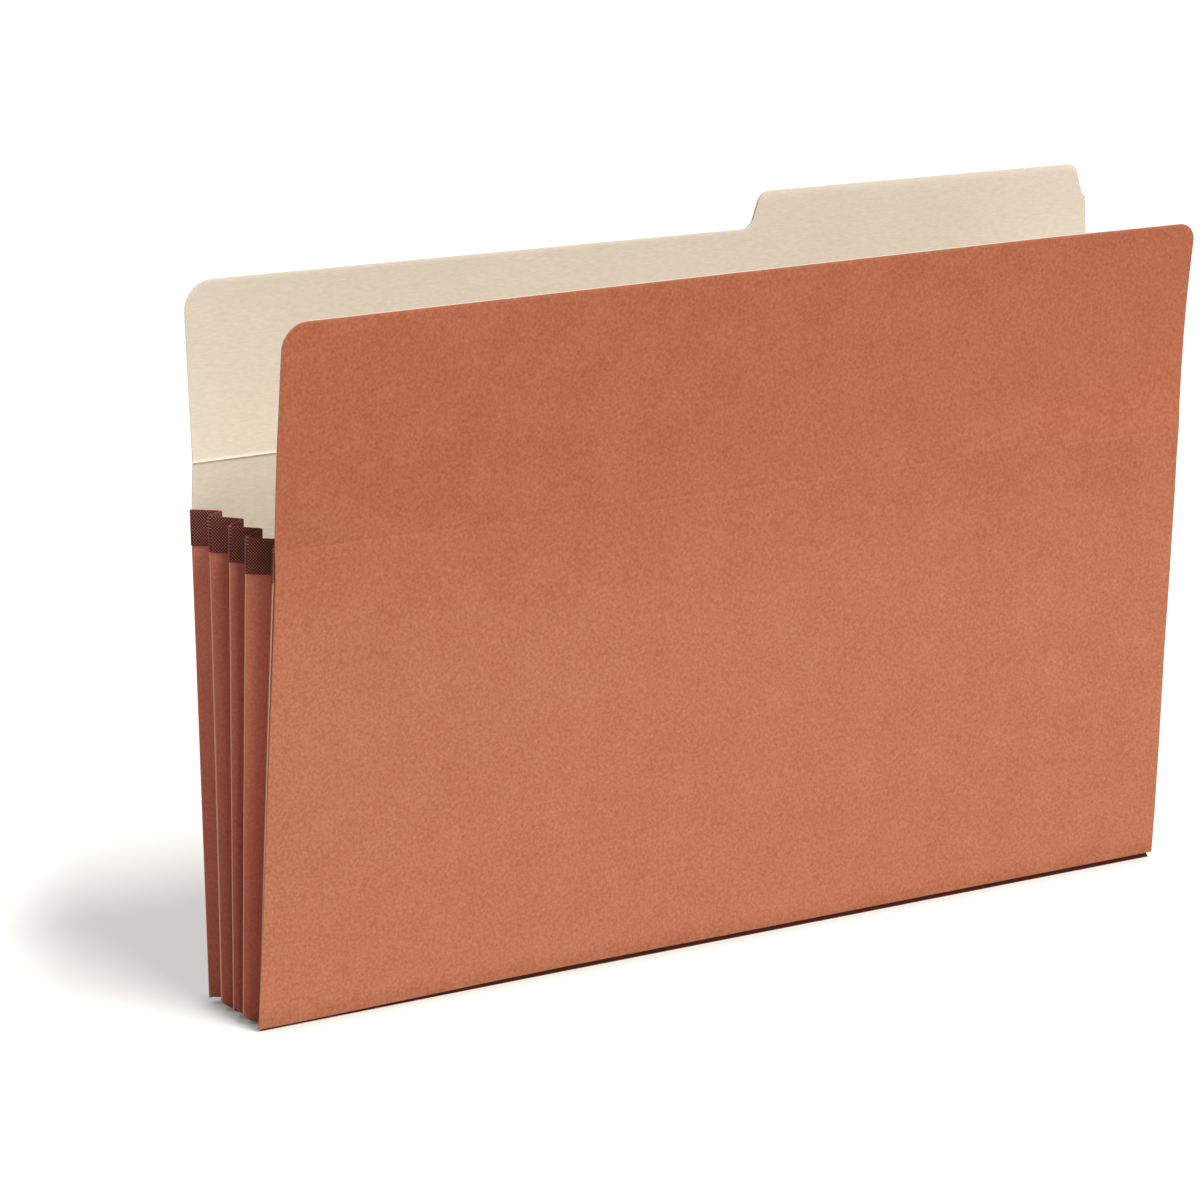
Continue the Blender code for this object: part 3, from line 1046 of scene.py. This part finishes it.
# Cotton twill tape: dyed dark, with lighter threads raised in fine diagonal rows
def twill_tape():
    finish = bpy.context.scene.pocket_finish
    material, tree, shader = blank("twill_tape")
    depth = add(tree, "ShaderNodeAttribute", attribute_name="depth")
    along = add(tree, "ShaderNodeAttribute", attribute_name="along")
    flat = add(
        tree, "ShaderNodeCombineXYZ", links={"X": depth.outputs["Fac"], "Y": along.outputs["Fac"]}
    )
    turned = add(
        tree, "ShaderNodeMapping", {"Rotation": (0.0, 0.0, math.radians(-45))},
        {"Vector": flat.outputs[0]},
    )
    rows = add(
        tree, "ShaderNodeTexWave",
        {"Scale": WAVE_TURN / ROW_SPACING, "Distortion": 0.8, "Detail": 2.0},
        {"Vector": turned.outputs[0]}, bands_direction="X",
    )
    threads = add(
        tree, "ShaderNodeTexWave",
        {"Scale": WAVE_TURN / THREAD_SPACING, "Distortion": 1.2, "Detail": 2.0},
        {"Vector": turned.outputs[0]}, bands_direction="Y",
    )
    dotted = add(
        tree, "ShaderNodeMapRange", {"To Min": 0.3}, {"Value": threads.outputs["Fac"]}
    )
    raised = add(
        tree, "ShaderNodeMath", links={0: rows.outputs["Fac"], 1: dotted.outputs[0]},
        operation="MULTIPLY",
    )
    tone = add(
        tree, "ShaderNodeMapRange", {"From Min": 0.2, "From Max": 0.95}, {"Value": raised.outputs[0]}
    )
    mixed = add(
        tree, "ShaderNodeMix", {MIX_A: rgba(finish.tape_ground), MIX_B: rgba(finish.tape_thread)},
        {MIX_FACTOR: tone.outputs[0]}, data_type="RGBA",
    )
    shade = rubbed(tree, mixed.outputs[MIX_RESULT], finish.tape_worn, TAPE_WORN, TAPE_WEAR)
    bump = add(
        tree, "ShaderNodeBump", {"Strength": 0.5, "Distance": 0.12 * MM}, {"Height": raised.outputs[0]}
    )
    wire(
        tree, shader, {"Roughness": 0.85, "Specular IOR Level": 0.2},
        {"Base Color": shade, "Normal": bump.outputs[0]},
    )
    return material


def seen_rays(tree):
    """A socket that is 1 for rays that show a surface to the eye, and 0 for rays that carry light."""
    rays = add(tree, "ShaderNodeLightPath")
    seen = add(
        tree, "ShaderNodeMath",
        links={0: rays.outputs["Is Camera Ray"], 1: rays.outputs["Is Glossy Ray"]}, operation="MAXIMUM",
    )
    through = add(
        tree, "ShaderNodeMath", links={0: seen.outputs[0], 1: rays.outputs["Is Transmission Ray"]},
        operation="MAXIMUM",
    )
    return through.outputs[0]


# Pale matte floor: white to the eye through a painted glow, dark where the pocket keeps the light off,
# and darker near the pocket, where the glow is taken off as painted shade; at the left the glow grows
# to plain white over the shadow
def studio_floor(shade):
    material, tree, shader = blank("studio_floor")
    place = add(tree, "ShaderNodeTexCoord")
    leftwards = add(
        tree, "ShaderNodeVectorMath", {1: FADE_WAY}, {0: place.outputs["Object"]},
        operation="DOT_PRODUCT",
    )
    fade = add(
        tree, "ShaderNodeMapRange",
        {"From Min": FADE_START, "From Max": FADE_END, "To Min": FLOOR_GLOW},
        {"Value": leftwards.outputs["Value"]}, interpolation_type="SMOOTHSTEP",
    )
    open_sky = add(tree, "ShaderNodeAmbientOcclusion", {"Distance": CONTACT_REACH}, samples=8)
    level = add(
        tree, "ShaderNodeMath", links={0: fade.outputs[0], 1: open_sky.outputs["AO"]},
        operation="MULTIPLY",
    )
    glow = add(
        tree, "ShaderNodeMath", links={0: level.outputs[0], 1: seen_rays(tree)}, operation="MULTIPLY"
    )
    wire(
        tree, shader,
        {
            "Base Color": rgba(shade), "Roughness": 0.9, "Specular IOR Level": 0.0,
            "Emission Color": WHITE,
        },
        {"Emission Strength": glow.outputs[0]},
    )
    return material


def studio_world(strength):
    """White where it is seen, and an even light of this strength elsewhere."""
    world = bpy.data.worlds.new("studio_world")
    world.use_nodes = True
    tree = world.node_tree
    level = add(
        tree, "ShaderNodeMapRange", {"To Min": strength}, {"Value": seen_rays(tree)}
    )
    wire(tree, tree.nodes["Background"], {"Color": WHITE}, {"Strength": level.outputs[0]})
    bpy.context.scene.world = world


# Stage


def studio_lamp(name, kind, place, strength, **settings):
    """A lamp at a place, turned to the pocket's middle."""
    lamp = bpy.data.lights.new(name, kind)
    lamp.energy = strength
    for setting, value in settings.items():
        setattr(lamp, setting, value)
    item = bpy.data.objects.new(name, lamp)
    item.location = place
    item.rotation_euler = (LAMP_AIM - place).to_track_quat("-Z", "Y").to_euler()
    bpy.context.scene.collection.objects.link(item)


def photo_camera(sizes):
    """The camera at the photograph's viewing angle."""
    view = Vector((
        math.sin(sizes.yaw) * math.cos(sizes.pitch),
        math.cos(sizes.yaw) * math.cos(sizes.pitch),
        -math.sin(sizes.pitch),
    ))
    made = bpy.data.cameras.new("photo_camera")
    made.sensor_width = 36.0
    made.lens = sizes.lens
    made.clip_end = 20.0
    item = bpy.data.objects.new("photo_camera", made)
    item.location = Vector((sizes.aim_side, APEX.y, sizes.aim_height)) - view * sizes.distance
    item.rotation_euler = view.to_track_quat("-Z", "Y").to_euler()
    bpy.context.scene.collection.objects.link(item)
    bpy.context.scene.camera = item


def studio_ground(shade):
    """A wide level floor under the pocket's lowest point."""
    shape = bmesh.new()
    bmesh.ops.create_grid(shape, x_segments=8, y_segments=8, size=FLOOR_REACH)
    bmesh.ops.translate(shape, vec=(0.0, 0.0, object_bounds()[0].z), verts=shape.verts[:])
    mesh = bpy.data.meshes.new("studio_floor")
    shape.to_mesh(mesh)
    shape.free()
    mesh.materials.append(studio_floor(shade))
    item = bpy.data.objects.new("studio_floor", mesh)
    bpy.context.scene.collection.objects.link(item)
    item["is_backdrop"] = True


# Operators


class POCKET_OT_front_panel(bpy.types.Operator):
    """Make the front panel's redrope face and manila lining"""

    bl_idname = "pocket.front_panel"
    bl_label = "Front panel"

    def execute(self, context):
        sizes = context.scene.pocket_panels
        build_panel({
            "name": "front", "fold": PLEATS, "out": -1, "score": sizes.front_score,
            "crease": sizes.front_crease, "lifts": (0.0, sizes.front_lift), "leans": FRONT_LEANS,
            "flares": FRONT_FLARES, "top": front_top(sizes), "edge": "redrope_edge",
            "insets": {"face": 0.0, "lining": sizes.front_inset},
        })
        return {"FINISHED"}


class POCKET_OT_back_panel(bpy.types.Operator):
    """Make the back panel's redrope face and manila lining, with the tab"""

    bl_idname = "pocket.back_panel"
    bl_label = "Back panel"

    def execute(self, context):
        sizes = context.scene.pocket_panels
        build_panel({
            "name": "back", "fold": 0, "out": 1, "score": sizes.back_score,
            "crease": sizes.back_crease, "lifts": (sizes.back_lift, 0.0), "leans": BACK_LEANS,
            "flares": (), "top": back_top(sizes), "edge": "manila_edge",
            "insets": {"face": sizes.back_face_inset, "lining": sizes.back_inset},
        })
        return {"FINISHED"}


class POCKET_OT_side_gussets(bpy.types.Operator):
    """Make the pleats of the left and right gussets"""

    bl_idname = "pocket.side_gussets"
    bl_label = "Side gussets"

    def execute(self, context):
        finish = context.scene.pocket_finish
        paper = gusset_paper("gusset_paper", finish.gusset_dark, finish.gusset_light, GUSSET_WEAR)
        materials = [paper, cut_edge("gusset_cut_edge", "gusset_worn")]
        for side in ("left", "right"):
            for pleat in range(1, PLEATS + 1):
                build_side_pleat(side, pleat, materials)
        return {"FINISHED"}


class POCKET_OT_side_tapes(bpy.types.Operator):
    """Make the cloth tape over the top edges of the side gussets"""

    bl_idname = "pocket.side_tapes"
    bl_label = "Side tapes"

    def execute(self, context):
        cloth = twill_tape()
        for side in ("left", "right"):
            for pleat in range(1, PLEATS + 1):
                build_side_tape(side, pleat, [cloth, cloth])
        return {"FINISHED"}


class POCKET_OT_bottom_gusset(bpy.types.Operator):
    """Make the pleats of the bottom gusset"""

    bl_idname = "pocket.bottom_gusset"
    bl_label = "Bottom gusset"

    def execute(self, context):
        finish = context.scene.pocket_finish
        paper = gusset_paper("bottom_gusset_paper", finish.gusset_dark, finish.gusset_light, 0.0)
        # The last bottom pleat takes the dark paper, which is painted shadow under the front panel's
        # edge
        shadow_paper = gusset_paper("soiled_gusset_paper", finish.shadow_dark, finish.shadow_light, 0.0)
        for pleat in range(1, PLEATS):
            build_bottom_pleat(pleat, [paper, paper])
        build_bottom_pleat(PLEATS, [shadow_paper, shadow_paper])
        return {"FINISHED"}


class POCKET_OT_stage(bpy.types.Operator):
    """Make the floor, the lights and the camera"""

    bl_idname = "pocket.stage"
    bl_label = "Stage"

    def execute(self, context):
        sizes = context.scene.pocket_stage
        context.scene.view_settings.view_transform = "Standard"
        photo_camera(sizes)
        studio_ground(sizes.floor)
        studio_world(sizes.ambient)
        studio_lamp("key_light", "SUN", KEY_PLACE, sizes.key_strength, angle=sizes.key_spread)
        studio_lamp("side_light", "AREA", SIDE_PLACE, sizes.side_power, shape="SQUARE", size=SIDE_SIZE)
        return {"FINISHED"}


class VIEW3D_PT_file_pocket(bpy.types.Panel):
    """The steps that make the pocket"""

    bl_label = "Expanding file pocket"
    bl_idname = "VIEW3D_PT_file_pocket"
    bl_space_type = "VIEW_3D"
    bl_region_type = "UI"
    bl_category = "Pocket"

    def draw(self, context):
        for step in STEPS:
            self.layout.operator(step.bl_idname)


GROUPS = {
    "pocket_panels": PocketPanels,
    "pocket_gusset": PocketGusset,
    "pocket_finish": PocketFinish,
    "pocket_stage": PocketStage,
}
STEPS = (
    POCKET_OT_front_panel,
    POCKET_OT_back_panel,
    POCKET_OT_side_gussets,
    POCKET_OT_side_tapes,
    POCKET_OT_bottom_gusset,
    POCKET_OT_stage,
)


def register():
    for group in GROUPS.values():
        bpy.utils.register_class(group)
    for name, group in GROUPS.items():
        setattr(bpy.types.Scene, name, bpy.props.PointerProperty(type=group))
    for step in STEPS:
        bpy.utils.register_class(step)
    bpy.utils.register_class(VIEW3D_PT_file_pocket)


def unregister():
    bpy.utils.unregister_class(VIEW3D_PT_file_pocket)
    for step in reversed(STEPS):
        bpy.utils.unregister_class(step)
    for name, group in GROUPS.items():
        delattr(bpy.types.Scene, name)
        bpy.utils.unregister_class(group)


def main():
    register()
    bpy.ops.pocket.front_panel()
    bpy.ops.pocket.back_panel()
    bpy.ops.pocket.side_gussets()
    bpy.ops.pocket.side_tapes()
    bpy.ops.pocket.bottom_gusset()
    bpy.ops.pocket.stage()


if __name__ == "__main__":
    main()
